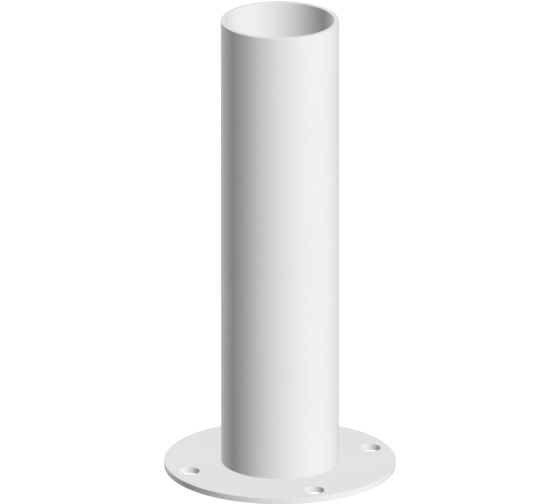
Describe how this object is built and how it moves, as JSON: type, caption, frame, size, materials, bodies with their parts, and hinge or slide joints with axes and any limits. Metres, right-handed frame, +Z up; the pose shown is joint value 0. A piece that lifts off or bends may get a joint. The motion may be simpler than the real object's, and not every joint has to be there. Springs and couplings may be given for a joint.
{
  "type": "stanchion base",
  "caption": "Boat stanchion base: a tall open socket tube standing on a thin round deck flange with screw holes around it, all coated plain light grey.",
  "frame": {"origin": "centre of the flange's underside, on the tube's axis, where the base rests on the deck", "axes": "+Z up along the tube's axis towards its open mouth; the screw holes lie on the X and Y axes"},
  "size_m": [0.075, 0.075, 0.152],
  "materials": {
    "coated_steel": "satin",
    "coated_weld": "satin"
  },
  "bodies": {
    "root": {"socket_tube": "coated_steel", "base_flange": "coated_steel", "weld_bead": "coated_weld"}
  },
  "joints": []
}
